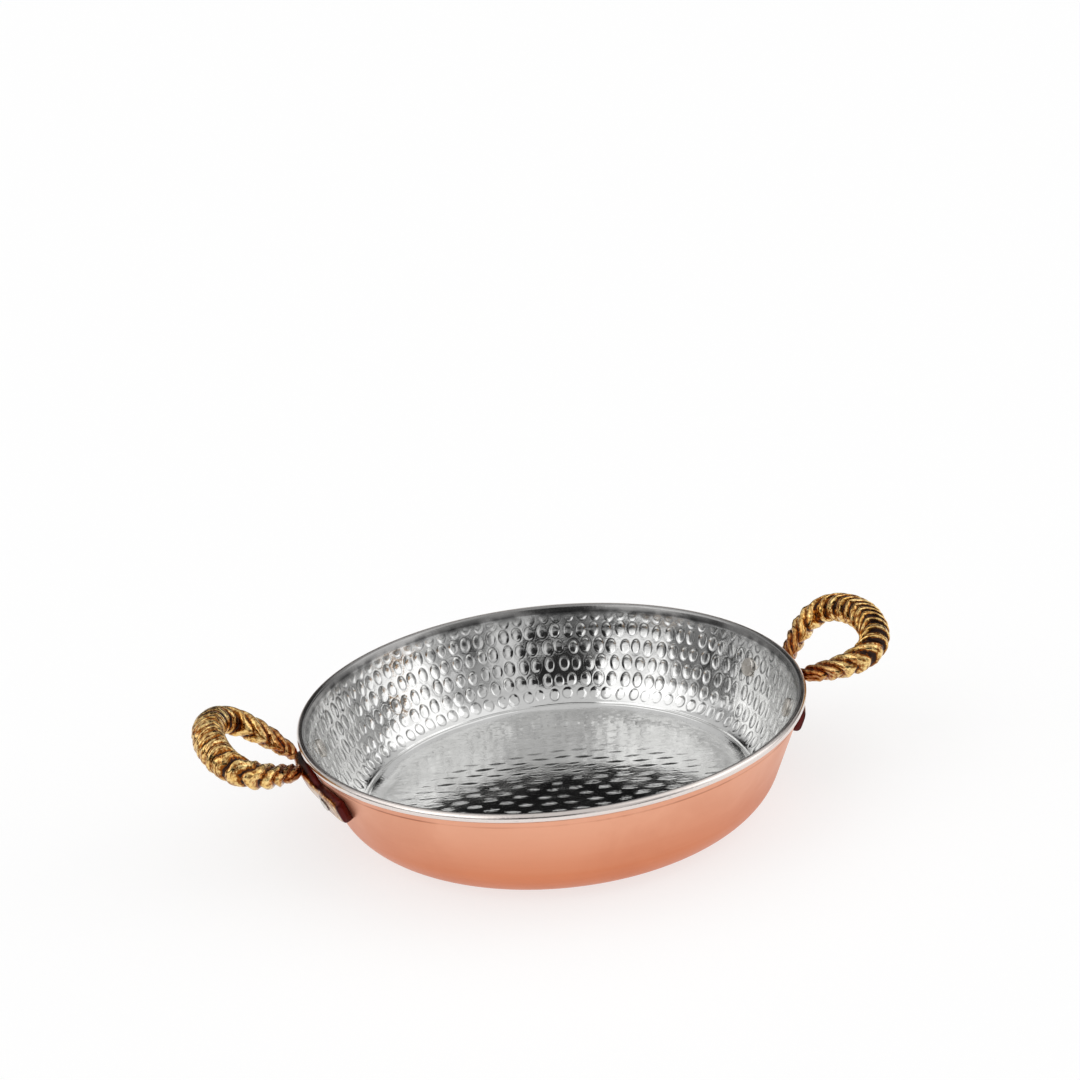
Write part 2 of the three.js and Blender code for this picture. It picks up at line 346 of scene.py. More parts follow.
def face_points(along):
    """Radius and height of the bowl's face, and the way it faces, by the distance from its middle"""
    slope = np.clip((along - BASE_RADIUS) / FACE_CORNER, 0, WALL_SLOPE)
    past = np.maximum(0, along - BASE_RADIUS - ARC_LENGTH)
    radius = np.minimum(along, BASE_RADIUS) + FACE_CORNER * np.sin(slope) + past * math.cos(WALL_SLOPE)
    height = CORNER_RADIUS - FACE_CORNER * np.cos(slope) + past * math.sin(WALL_SLOPE)
    return radius, height, -np.sin(slope), np.cos(slope)


def wall_hollow(along):
    """The wall's face stands in a little at its top and foot, so that it is slightly hollow"""
    from_middle = (along - BASE_RADIUS - ARC_LENGTH - SLOPE_LENGTH / 2) / (SLOPE_LENGTH / 2)
    on_wall = smooth_share(along, BASE_RADIUS + 11, BASE_RADIUS + ARC_LENGTH)
    return WALL_HOLLOW * from_middle**2 * on_wall


# Each row of marks on the wall: its place along the face, the number of marks, and half their height
WALL_ROWS = (
    (118.9, 103, 3.15),
    (112.1, 101, 3.15),
    (104.9, 98, 3.15),
    (97.4, 95, 3.15),
    (90.1, 92, 3.15),
    (83.6, 87, 2.7),
)
WALL_MARK_HALF_WIDTH = 2.2
WALL_MARK_DEPTH = 0.23
WALL_MARK_ROUNDNESS = 0.6
WALL_MARK_REACH = (5.0, 4.2)
WALL_MARKS_FADE = (116.6, 119.6)


def wall_marks():
    """One row for each mark: place along and around, half sizes, depth, lean and the row's radius"""
    marks = []
    for along, count, half_up in WALL_ROWS:
        radius = float(face_points(np.array([along]))[0][0])
        start = chance.uniform(0, 2 * math.pi)
        for i in range(count):
            turn = start + 2 * math.pi * (i + chance.normal(0, 0.05)) / count
            marks.append((
                along + chance.normal(0, 0.22),
                turn,
                half_up * chance.uniform(0.92, 1.06),
                WALL_MARK_HALF_WIDTH * chance.uniform(0.93, 1.07),
                WALL_MARK_DEPTH * chance.uniform(0.75, 1.2),
                chance.normal(0, 0.05),
                radius,
            ))
    return np.array(marks)


# The floor marks were struck in oval rings round a point a little off the pan's middle, all from the
# front. Those in front of that point are shorter and slant more.
FLOOR_CENTRE = np.array([2.4, 11.6])
STRIKE_HEADING = CAMERA_AZIMUTH - math.pi / 2
FLOOR_RINGS = 16
RING_PITCH = 5.9
RING_STRETCH = 1.55
FIRST_MARK = (1.2, 2.4, 0.02)
FRONT_MARK_HALF_LENGTH = 1.08
BACK_MARK_HALF_LENGTH = 1.5
FLOOR_MARK_HALF_WIDTH = 4.7
FLOOR_MARK_DEPTH = 0.018
FLOOR_MARK_ROUNDNESS = 0.2
FLOOR_MARK_REACH = 7.0
FRONT_MARK_SLANT = 0.092
BACK_MARK_SLANT = 0.058


def floor_marks():
    """One row for each mark: x, y, half sizes, depth, the hammer's heading and its slant"""
    ahead = np.array([math.cos(STRIKE_HEADING), math.sin(STRIKE_HEADING)])
    across = np.array([-ahead[1], ahead[0]])
    marks = [(*FLOOR_CENTRE, *FIRST_MARK, STRIKE_HEADING, BACK_MARK_SLANT)]
    for ring in range(1, FLOOR_RINGS + 1):
        radius = ring * RING_PITCH
        count = round(2 * math.pi * radius / RING_PITCH)
        start = chance.uniform(0, 2 * math.pi)
        for i in range(count):
            turn = start + 2 * math.pi * (i + chance.normal(0, 0.05)) / count
            away = radius + chance.normal(0, 0.2)
            way = math.cos(turn) * ahead + RING_STRETCH * math.sin(turn) * across
            x, y = FLOOR_CENTRE + away * way
            size = min(1.0, 0.7 + radius * 0.014) * chance.uniform(0.92, 1.06)
            heading = STRIKE_HEADING + chance.normal(0, 0.07)
            front = smooth_share(away * math.cos(turn), -4, 5)
            half_long = lerp(BACK_MARK_HALF_LENGTH, FRONT_MARK_HALF_LENGTH, front)
            slant = lerp(BACK_MARK_SLANT, FRONT_MARK_SLANT, front)
            sizes = (half_long * size, FLOOR_MARK_HALF_WIDTH * size, FLOOR_MARK_DEPTH * size)
            marks.append((x, y, *sizes, heading, slant))
    marks = np.array(marks)
    return marks[np.hypot(marks[:, 0], marks[:, 1]) < FLOOR_MARKS_END + 1]


def struck(share, depth, roundness):
    """The height of a hammer mark: a nearly flat dish with a steep edge and a thin raised lip"""
    away = np.sqrt(share)
    flat_dish = 1 - smooth_share(away, 0.72, 1.06)
    dish = lerp(flat_dish, np.maximum(0, 1 - share), roundness)
    return depth * (0.18 * bell(away, 1.1, 0.09) - dish)


def painted_shade_edge(share):
    """1 on the steep edge of a hammer mark, where shade is painted"""
    return bell(np.sqrt(share), 0.98, 0.1)


def hammered_face(along, turn, radius):
    """How far the hammering moves each point of the face, and how much shade is painted there"""
    height, painted_shade_and_tarnish = np.zeros_like(along), np.zeros_like(along)
    x, y = radius * np.cos(turn), radius * np.sin(turn)
    for place, around, half_up, half_wide, depth, lean, mark_radius in wall_marks():
        low, high = np.searchsorted(along, (place - WALL_MARK_REACH[0], place + WALL_MARK_REACH[0]))
        up = along[low:high] - place
        wide = ((turn[low:high] - around + math.pi) % (2 * math.pi) - math.pi) * mark_radius
        near = np.abs(wide) < WALL_MARK_REACH[1]
        u = up[near] + wide[near] * lean
        share = (u / half_up) ** 2 + (wide[near] / half_wide) ** 2
        fade = 1 - smooth_share(along[low:high][near], *WALL_MARKS_FADE)
        part = height[low:high]
        part[near] += struck(share, depth, WALL_MARK_ROUNDNESS) * fade
        part = painted_shade_and_tarnish[low:high]
        part[near] = np.maximum(part[near], painted_shade_edge(share) * fade * depth / WALL_MARK_DEPTH)
    # a painted shade line runs under the rim, on the bead's shaded inner edge
    painted_shade_and_tarnish = np.maximum(painted_shade_and_tarnish, 0.9 * smooth_share(along, FACE_LENGTH - 3.2, FACE_LENGTH - 0.2))
    floor_end = np.searchsorted(along, FLOOR_MARKS_END + 2)
    floor_fade = 1 - smooth_share(along[:floor_end], FLOOR_MARKS_END - 1.6, FLOOR_MARKS_END)
    floor_x, floor_y = x[:floor_end], y[:floor_end]
    for mark_x, mark_y, half_long, half_wide, depth, heading, slant in floor_marks():
        away = math.hypot(mark_x, mark_y)
        ends = (away - FLOOR_MARK_REACH, away + FLOOR_MARK_REACH)
        low, high = np.searchsorted(along[:floor_end], ends)
        dx, dy = floor_x[low:high] - mark_x, floor_y[low:high] - mark_y
        near = dx * dx + dy * dy < FLOOR_MARK_REACH**2
        c, s = math.cos(heading), math.sin(heading)
        ahead = dx[near] * c + dy[near] * s
        aside = dy[near] * c - dx[near] * s
        share = (np.abs(ahead) / half_long + (aside / half_wide) ** 2) ** 2
        # the hammer was held at a slant, so that each mark is deeper at its near end
        tilt = slant * ahead * (1 - smooth_share(np.sqrt(share), 0.84, 1.04))
        part = height[low:high]
        mark = struck(share, depth, FLOOR_MARK_ROUNDNESS) - tilt
        part[near] += mark * floor_fade[low:high][near]
    return height, painted_shade_and_tarnish


FLOOR_STEP = 0.36
CREASE_STEP = 0.16
WALL_RINGS = 92
HALVED_WITHIN = (64, 32, 16, 8, 4)


def bowl_stations():
    """Distances along the face at which the rings lie: close together at the crease"""
    crease_start, crease_end = CREASE_AT - CREASE_HALF_WIDTH, CREASE_AT + CREASE_HALF_WIDTH
    floor = np.arange(1.0, crease_start, FLOOR_STEP)
    crease = np.arange(crease_start, crease_end, CREASE_STEP)
    wall = np.linspace(crease_end, FACE_LENGTH, WALL_RINGS)
    return np.concatenate([floor, crease, wall])


FOLD_TURN = math.radians(97)
FOLD_DEPTH = 0.1
FOLD_WIDTH = 0.08
RIM_PLAY = 0.03


def rolled_rim(start, end):
    """The rolled rim's outline, with a thin line where the sheet's edge is folded in"""
    turns = np.linspace(start, end, 41)
    radius = BEAD_RADIUS - RIM_PLAY - FOLD_DEPTH * bell(turns, FOLD_TURN, FOLD_WIDTH)
    return [BEAD_CENTRE + r * np.array([math.cos(t), math.sin(t)]) for r, t in zip(radius, turns)]


def broad_waves(along, turn, radius):
    """Hammering leaves the sheet a little wavy, which the reflections show"""
    x, y = radius * np.cos(turn), radius * np.sin(turn)
    waves = np.zeros_like(along)
    for _ in range(WAVE_COUNT):
        heading, length = chance.uniform(0, 2 * math.pi), chance.uniform(14, 34)
        step = math.cos(heading) * x + math.sin(heading) * y
        step = step + chance.uniform(-1, 1) * (along - BASE_RADIUS)
        waves += length * np.sin(step * 2 * math.pi / length + chance.uniform(0, 2 * math.pi))
    fade = 1 - smooth_share(along, 114, 119)
    share = lerp(FLOOR_WAVE_SHARE, 1, smooth_share(along, FLOOR_MARKS_END, CREASE_AT + 8))
    return WAVE_RISE * waves * fade * share


def tinned_bowl():
    """The lining and its rolled rim in one body. Rings near the middle have fewer points."""
    stations = bowl_stations()
    halvings = [sum(s < limit for limit in HALVED_WITHIN) for s in stations]
    counts = [SEGMENTS >> n for n in halvings]
    turns = [np.arange(n) * 2 * math.pi / n for n in counts]
    along = np.repeat(stations, counts)
    turn = np.concatenate(turns)
    radius, height, face_r, face_z = face_points(along)
    raised, painted_shade_and_tarnish = hammered_face(along, turn, radius)
    raised += wall_hollow(along)
    raised += broad_waves(along, turn, radius)
    past = along - CREASE_AT
    raised -= CREASE_DEPTH * bell(past, 0, CREASE_WIDTH)
    raised += LIP_RISE * bell(past, -LIP_BEFORE_CREASE, LIP_WIDTH)
    radius = radius + raised * face_r
    height = height + raised * face_z
    points = np.stack([radius * np.cos(turn), radius * np.sin(turn), height], 1)
    starts = np.concatenate([[0], np.cumsum(counts)])
    quads, triangles = [], []
    middle = len(points)
    points = np.concatenate([points, [[0, 0, WALL_THICKNESS]]])
    first = np.arange(counts[0])
    triangles.append(np.stack([np.full(counts[0], middle), first, np.roll(first, -1)], 1))
    for i in range(len(stations) - 1):
        inner = np.arange(counts[i]) + starts[i]
        outer = np.arange(counts[i + 1]) + starts[i + 1]
        if counts[i] == counts[i + 1]:
            quads.append(ring_quads(outer, inner))
        else:
            triangles.append(halving_triangles(outer, inner))
    # over the rolled rim and down the back face
    under_turn = -math.acos(-(BEAD_RADIUS + WALL_LEAN - LINING_SHEET) / BEAD_RADIUS)
    rim = rolled_rim(math.pi / 2 + WALL_SLOPE, under_turn)
    outline = np.array([*rim, *wall_path(LINING_INSET, 12, 5)[::-1]])
    offset = len(points)
    points = np.concatenate([points, turned_points(outline, turns[-1]), [[0, 0, LINING_INSET]]])
    below = np.arange(SEGMENTS) + starts[-2]
    for i in range(len(outline)):
        ring = np.arange(SEGMENTS) + offset + i * SEGMENTS
        quads.append(ring_quads(ring, below))
        below = ring
    triangles.append(np.stack([np.full(SEGMENTS, len(points) - 1), np.roll(below, -1), below], 1))
    quads, triangles = np.concatenate(quads), np.concatenate(triangles)
    piece = make_piece("tinned_bowl_hammered", points, quads, triangles)
    # painted shade on the marks' edges and under the rim, kept for the material
    whole = np.zeros(len(points))
    whole[:len(painted_shade_and_tarnish)] = painted_shade_and_tarnish
    keep_values(piece, "painted_shade_and_tarnish", whole)
    return piece


bowl = tinned_bowl()
cut(bowl, rivet_holes((0, LEFT_HANDLE_TURN)))


# The handles: a rope loop with fine lines along its ribs, on a plate curved to the wall
ROPE_RINGS = 24 * ROPE_RIBS
ROPE_AROUND = 64
ROPE_RELIEF = 1.75
LINE_DEPTH = 0.28
LUMP_DEPTH = 0.14
GRAIN_DEPTH = 0.09
LEG_TWIST = 0.95
LINES_A_RIB = 3.4
FOLD_SHARE = 0.24
ROOT_SHARE = 0.06
ROPE_CROWDING = 0.2
ROPE_PLAY = 0.02


def swept_piece(name, rings, around, place):
    """A closed body from rings of points, with a point at the middle of each end"""
    ring_share = np.repeat(np.linspace(0, 1, rings + 1), around)
    turn = np.tile(np.arange(around) * 2 * math.pi / around, rings + 1)
    ends = np.array([0.0, 1.0])
    share = np.concatenate([ring_share, ends])
    turn = np.concatenate([turn, [0.0, 0.0]])
    edge = np.concatenate([np.ones(len(ring_share)), [0.0, 0.0]])
    points, groove = place(share, turn, edge)
    numbers = np.arange(len(ring_share)).reshape(rings + 1, around)
    quads = np.concatenate([ring_quads(numbers[i], numbers[i + 1]) for i in range(rings)])
    triangles = end_fans(numbers[0], numbers[-1], len(ring_share))
    # the rings run the other way round than a lathe piece's, so the faces are turned over
    piece = make_piece(name, points, quads[:, ::-1], triangles[:, ::-1])
    return piece, points, groove


def loop_line():
    """Points along the loop's centre line, and how far along it each of them lies"""
    t = np.linspace(0, 1, 1500)[:, None]
    base = np.array([0, LEG_BASE_SPACING / 2])
    shoulder = np.array([LOOP_SHOULDER_REACH, LOOP_SHOULDER_WIDTH / 2])
    bend = np.array([LOOP_REACH, LOOP_END_WIDTH / 2])
    end = np.array([LOOP_REACH, 0])
    half = (1 - t) ** 3 * base + 3 * (1 - t) ** 2 * t * shoulder
    half = half + 3 * (1 - t) * t * t * bend + t**3 * end
    line = np.concatenate([half * [1, -1], half[::-1][1:]])
    reach = np.concatenate([[0], np.cumsum(np.linalg.norm(np.diff(line, axis=0), axis=1))])
    return line, reach


def signed_power(value, power):
    return np.sign(value) * np.abs(value) ** power


def unevenness(along, turn, waves):
    """A smooth wandering value from -1 to 1 along and round the rope"""
    total = sum(np.sin(count * turn + rate * along * math.pi + start) for count, rate, start in waves)
    return total / len(waves) * 1.6


def rope_shape(side):
    """The rope's shape for swept_piece, where side is 1 on the right handle and -1 on the left"""
    line, reach = loop_line()
    length = reach[-1]
    outwards = np.array([math.cos(LOOP_TILT), 0, math.sin(LOOP_TILT)])
    sideways = np.array([0.0, 1.0, 0.0])
    above = np.cross(outwards, sideways)
    plane = np.stack([outwards, sideways])
    base_height = EAR_CENTRE_HEIGHT + LEG_BASE_RISE
    stand_off = PIECE_GAP + PLATE_MIDDLE_THICKNESS - LEG_BASE_SINK
    base = np.array([float(wall_radius_at(base_height)) + stand_off, 0, base_height])
    waves = [
        (chance.integers(1, 4), chance.uniform(2, 7), chance.uniform(0, 2 * math.pi))
        for _ in range(24)
    ]
    rib_depth = chance.uniform(0.8, 1.05, ROPE_RIBS)
    rib_lean = chance.uniform(-1, 1, ROPE_RIBS)

    def place(share, turn, edge):
        outer = -np.sin(turn) * edge
        fade = np.minimum(1, np.minimum(share, 1 - share) / ROOT_SHARE)
        crowded = ROPE_CROWDING * np.sin(2 * math.pi * share) / (2 * math.pi)
        slant = RIB_SLANT * np.cos(math.pi * share) * outer
        chevron = side * RIB_CHEVRON * np.sin(math.pi * share) ** 2 * np.abs(outer)
        line_share = share + crowded + fade * (slant - chevron) / length
        swell = np.maximum(0, np.sin(math.pi * line_share)) ** 0.6
        crest = lerp(LEG_ROPE_DIAMETER, END_ROPE_DIAMETER, swell) / 2 - ROPE_PLAY
        # the place within each rib: on the legs the ribs run on as slanting strands
        lean = (outer + 2 / math.pi * np.arcsin(np.clip(outer, -1, 1))) / 2
        rib_place = ROPE_RIBS * share - LEG_TWIST * np.cos(math.pi * share) * lean * fade
        rib_place = rib_place + 0.1 * unevenness(share * 4, turn, waves[:6])
        part = rib_place % 1
        rib_number = np.floor(rib_place).astype(int) % ROPE_RIBS
        fall = np.clip((part - FOLD_SHARE) / (1 - FOLD_SHARE), 0, 1) ** 2
        folded = 1 - smooth_share(part, 0, FOLD_SHARE) * (1 - fall)
        at_end = smooth_share(np.sin(math.pi * share), 0.5, 0.85)
        groove = lerp(1 - np.sin(math.pi * part) ** 1.2, folded, at_end)
        wander = 0.3 * rib_lean[rib_number] + 0.2 * unevenness(share * 7, turn, waves[6:12])
        line_part = (part * LINES_A_RIB + wander) % 1
        fine_line = np.maximum(0, np.cos(2 * math.pi * line_part)) ** 5 * (1 - groove) ** 0.7
        strength = np.clip(0.7 + 0.6 * unevenness(share * 9, turn, waves[6:12]), 0.1, 1.3)
        strength = lerp(0.2, 1, at_end) * strength
        dent = ROPE_RELIEF * lerp(0.5, 1, swell) * groove * rib_depth[rib_number]
        dent = dent + LINE_DEPTH * fine_line * strength
        dent = dent + LUMP_DEPTH * (1 + unevenness(share * 12, turn, waves[12:18]))
        dent = dent + GRAIN_DEPTH * (1 + unevenness(share * 22, turn * 2, waves[18:]))
        # painted shade is deepest on one half of the loop's end, where the steep faces would reflect
        # the dark far side
        painted_dark_half = smooth_share(side * outer, -0.1, 0.5) * at_end
        painted_shade_and_tarnish = groove ** lerp(3.2, 2, at_end) * lerp(0.75, 0.9, at_end)
        painted_shade_and_tarnish = lerp(painted_shade_and_tarnish, smooth_share(groove, 0.2, 0.5), painted_dark_half)
        section = (crest - dent) * edge
        step = np.clip(line_share, 0, 1) * length

        def on_line(offset):
            at = step + offset
            return np.stack([np.interp(at, reach, line[:, 0]), np.interp(at, reach, line[:, 1])], 1)

        heading = (on_line(0.05) - on_line(-0.05)) @ plane
        inwards = np.cross(above, heading)
        inwards /= np.linalg.norm(inwards, axis=1)[:, None]
        points = base + on_line(0) @ plane
        points = points + (section * np.sin(turn))[:, None] * inwards
        points = points + (section * np.cos(turn))[:, None] * above
        # the fine lines are painted darker too, a painted shade
        return points, np.clip(painted_shade_and_tarnish + 0.8 * fine_line * strength, 0, 1)

    return place


# The plates: narrower than the solid's between the ears and a little wider at the ears' lower edge.
# The handles aren't quite even in the photo, where the right plate sits a little further back.
NECK_NARROWING = 2.0
EAR_FLARE = 1.3
RIGHT_PLATE_SHIFT = 2.0
# Places along the plate, where 0 is its middle and 1 its end, with a width after each
MIDDLE_SHARE = 0.3
NECK_PLACE = (0.45, 0.17)
EAR_PLACE = (0.85, 0.2)
# Powers below 1 make the section squarer
EDGE_POWER = 0.42
FACE_POWER = 0.36
# How far from a rivet's middle the painted shadow ring lies, and its width
RIVET_SHADOW_RING = (3.3, 0.8)


def plate_shape(shift, share, turn, edge):
    """The plate's shape for swept_piece, with side from -1 at one end to 1 at the other"""
    side = 2 * share - 1
    hump = np.exp(-(np.abs(side / MIDDLE_SHARE) ** 4))
    tip = lerp(0.7, 1, np.sqrt(np.maximum(0, 1 - np.abs(side) ** 5)))
    neck = bell(np.abs(side), *NECK_PLACE)
    ear = bell(np.abs(side), *EAR_PLACE)
    height = lerp(EAR_HEIGHT, PLATE_MIDDLE_HEIGHT, hump) - NECK_NARROWING * neck + EAR_FLARE * ear
    height = height * tip
    centre = EAR_CENTRE_HEIGHT + PLATE_MIDDLE_RISE * hump
    centre = centre - NECK_NARROWING / 2 * neck - EAR_FLARE / 2 * ear
    thickness = lerp(PLATE_THICKNESS, PLATE_MIDDLE_THICKNESS, hump)
    up_share = edge * signed_power(np.sin(turn), EDGE_POWER)
    out_share = np.maximum(0, edge * np.cos(turn)) ** FACE_POWER
    z = centre + height / 2 * up_share
    offset = PIECE_GAP - PLATE_BACK_DEPTH + (PLATE_BACK_DEPTH + thickness) * out_share
    azimuth = (side * PLATE_LENGTH / 2 + shift) / float(wall_radius_at(EAR_CENTRE_HEIGHT))
    slope = wall_slope_at(z)
    radius = wall_radius_at(z) + offset * np.sin(slope)
    z = z - offset * np.cos(slope)
    points = np.stack([radius * np.cos(azimuth), radius * np.sin(azimuth), z], 1)
    # painted shade and tarnish lie on the plate's top, underside and ends, and a painted shadow ring
    # lies round the rivets
    patchy = chance.uniform(-0.2, 0.2, len(share))
    at_edge = smooth_share(np.abs(up_share), 0.86, 0.97) * (1 - smooth_share(out_share, 0.6, 0.95))
    painted_shade_and_tarnish = 0.2 + patchy + 0.75 * at_edge
    painted_shade_and_tarnish = np.maximum(painted_shade_and_tarnish, smooth_share(np.abs(side), 0.97, 0.985))
    for rivet_side in (-1, 1):
        seat, normal = rivet_seat(rivet_side)
        away = np.linalg.norm(np.cross(points - seat, normal), axis=1)
        painted_shade_and_tarnish = np.maximum(painted_shade_and_tarnish, 0.9 * bell(away, *RIVET_SHADOW_RING))
    return points, np.clip(painted_shade_and_tarnish, 0, 1)


CUT_GAP = 0.2


def pan_envelope():
    """The room that the pan takes up with its gap, which is cut from the handles"""
    wall = wall_path(-CUT_GAP, 24, 12)
    radius = BEAD_RADIUS + CUT_GAP
    turns = np.linspace(-math.pi / 3, math.pi / 2, 9)
    bead = [BEAD_CENTRE + radius * np.array([math.cos(t), math.sin(t)]) for t in turns]
    return lathe_piece("envelope", [(0, -CUT_GAP), *wall, *bead, (0, PAN_HEIGHT + CUT_GAP)], 384)


def rope_handle(name, turn, side):
    """One casting: the rope and its plate in one body, cut back to the wall and drilled"""
    shift = RIGHT_PLATE_SHIFT if side > 0 else 0.0
    plate, plate_points, plate_painted_shade = swept_piece("plate", 120, 64, partial(plate_shape, shift))
    rope, rope_points, rope_painted_shade = swept_piece(name, ROPE_RINGS, ROPE_AROUND, rope_shape(side))
    cut(rope, [plate], "UNION")
    cut(rope, [pan_envelope(), *rivet_holes((0,))])
    # the painted shade and tarnish of the grooves is carried over to the joined mesh by the nearest
    # point
    tree = KDTree(len(rope_points) + len(plate_points))
    for number, point in enumerate(np.concatenate([rope_points, plate_points])):
        tree.insert(point, number)
    tree.balance()
    grooves = np.concatenate([rope_painted_shade, plate_painted_shade])
    keep_values(rope, "groove", [grooves[tree.find(v.co / MM)[1]] for v in rope.data.vertices])
    places = np.empty(len(rope.data.vertices) * 3, np.float32)
    rope.data.vertices.foreach_get("co", places)
    turned = turned_about_z(places.reshape(-1, 3).astype(float), turn)
    rope.data.vertices.foreach_set("co", turned.astype(np.float32).ravel())
    rope.data.update()
    return rope


handle_right = rope_handle("rope_handle_right", 0, 1)
handle_left = rope_handle("rope_handle_left", LEFT_HANDLE_TURN, -1)


# The rivets: a flat head in the bowl, a shank, and a low peened head on the plate
HEAD_FLATS = 6
HEAD_FLAT_DEPTH = 0.12
HEAD_UNDERCUT = 0.1
FLATS_START = OUTER_SEAT + 0.15


def rivet_outline():
    inner_end = INNER_SEAT - INNER_HEAD_THICKNESS
    flat_radius = INNER_HEAD_RADIUS - HEAD_ROUNDING
    points = [(0, inner_end), (flat_radius, inner_end)]
    for i in range(1, 6):
        angle = math.pi / 2 * i / 5
        out, up = HEAD_ROUNDING * math.sin(angle), HEAD_ROUNDING * (1 - math.cos(angle))
        points.append((flat_radius + out, inner_end + up))
    points += [(INNER_HEAD_RADIUS, INNER_SEAT), (SHANK_RADIUS, INNER_SEAT)]
    points += [(SHANK_RADIUS, OUTER_SEAT), (OUTER_HEAD_RADIUS - HEAD_UNDERCUT, OUTER_SEAT)]
    for i in range(9):
        angle = math.pi / 2 * i / 8
        rise = lerp(OUTER_HEAD_EDGE, OUTER_HEAD_RISE, math.sin(angle))
        points.append((OUTER_HEAD_RADIUS * max(0, math.cos(angle)), OUTER_SEAT + rise))
    points[-1] = (0, points[-1][1])
    return points


def peened(points, bumps):
    """Small flats of the hammer on the outer head, each with its place, size and depth"""
    dented = points.copy()
    outer = points[:, 2] > FLATS_START
    for x, y, size, depth in bumps:
        away = np.hypot(points[:, 0] - x, points[:, 1] - y) / size
        dented[:, 2] -= np.where(outer, depth * np.exp(-(away**2)), 0)
    return dented


def rivet(name, turn, side):
    bumps = [
        (chance.normal(0, 1.2), chance.normal(0, 1.2), chance.uniform(0.6, 1.1), HEAD_FLAT_DEPTH)
        for _ in range(HEAD_FLATS)
    ]
    piece = lathe_piece(name, rivet_outline(), 48, lambda p: on_seat(peened(p, bumps), side, turn))
    piece.data.set_sharp_from_angle(angle=math.radians(50))
    return piece


rivets = {
    "rivet_right_front": rivet("rivet_head_right_front", 0, -1),
    "rivet_right_back": rivet("rivet_head_right_back", 0, 1),
    "rivet_left_front": rivet("rivet_head_left_front", LEFT_HANDLE_TURN, 1),
    "rivet_left_back": rivet("rivet_head_left_back", LEFT_HANDLE_TURN, -1),
}


# Materials
def feed(tree, socket, value):
    """Links a value to a socket, or sets it there"""
    if isinstance(value, bpy.types.NodeSocket):
        tree.links.new(value, socket)
    else:
        socket.default_value = value


def put(tree, kind, settings=None, **inputs):
    """Adds a node, sets its options and feeds its inputs, whose names have _ for a space"""
    node = tree.nodes.new(kind)
    for key, value in (settings or {}).items():
        setattr(node, key, value)
    for key, value in inputs.items():
        feed(tree, node.inputs[key.replace("_", " ")], value)
    return node


def reckon(tree, operation, first, second=0.0, clamp=False):
    """A Math node's result"""
    node = put(tree, "ShaderNodeMath", {"operation": operation, "use_clamp": clamp})
    feed(tree, node.inputs[0], first)
    feed(tree, node.inputs[1], second)
    return node.outputs[0]


def times(tree, first, second, clamp=False):
    return reckon(tree, "MULTIPLY", first, second, clamp)


def in_parts(tree, total, *parts):
    """A starting value with each part added to it, a part being a value and its share"""
    for value, share in parts:
        total = reckon(tree, "ADD", total, times(tree, value, share))
    return total


def reckon_way(tree, operation, first, second=(0.0, 0.0, 0.0)):
    """A Vector Math node's results"""
    node = put(tree, "ShaderNodeVectorMath", {"operation": operation})
    feed(tree, node.inputs[0], first)
    feed(tree, node.inputs[1], second)
    return node.outputs


def between(tree, value, low, high, to_low=0.0, to_high=1.0):
    """An even rise of a value from one range to another"""
    rise = {"From_Min": low, "From_Max": high, "To_Min": to_low, "To_Max": to_high}
    node = put(tree, "ShaderNodeMapRange", {"interpolation_type": "SMOOTHSTEP"}, Value=value, **rise)
    return node.outputs["Result"]


def blended(tree, share, first, second):
    """A mix of two colours"""
    node = put(tree, "ShaderNodeMix", {"data_type": "RGBA"})
    colours = [socket for socket in node.inputs if socket.type == "RGBA"]
    for socket, value in zip([node.inputs[0], *colours], (share, first, second)):
        feed(tree, socket, value)
    return [socket for socket in node.outputs if socket.type == "RGBA"][0]


def noise(tree, place, scale, detail, roughness=0.5, distortion=0.0):
    """A wandering value from 0 to 1"""
    look = {"Scale": scale, "Detail": detail, "Roughness": roughness, "Distortion": distortion}
    return put(tree, "ShaderNodeTexNoise", Vector=place, **look).outputs["Fac"]


def on_pan(tree):
    """Where a point lies on the pan, from the middle of its base"""
    return put(tree, "ShaderNodeTexCoord").outputs["Object"]


def height_of(tree, place):
    return put(tree, "ShaderNodeSeparateXYZ", Vector=place).outputs["Z"]


def from_axis(tree, place):
    """How far a point lies from the pan's axis"""
    flat = reckon_way(tree, "MULTIPLY", place, (1.0, 1.0, 0.0))["Vector"]
    return reckon_way(tree, "LENGTH", flat)["Value"]


def kept_value(tree, name):
    return put(tree, "ShaderNodeAttribute", {"attribute_name": name}).outputs["Fac"]


def effect(name, inputs, outputs):
    """A node group with a number for each input and output"""
    tree = bpy.data.node_groups.new(name, "ShaderNodeTree")
    for label, value in inputs.items():
        socket = tree.interface.new_socket(label, in_out="INPUT", socket_type="NodeSocketFloat")
        socket.default_value = value
    for label in outputs:
        tree.interface.new_socket(label, in_out="OUTPUT", socket_type="NodeSocketFloat")
    given = tree.nodes.new("NodeGroupInput").outputs
    result = tree.nodes.new("NodeGroupOutput").inputs
    return tree, given, result


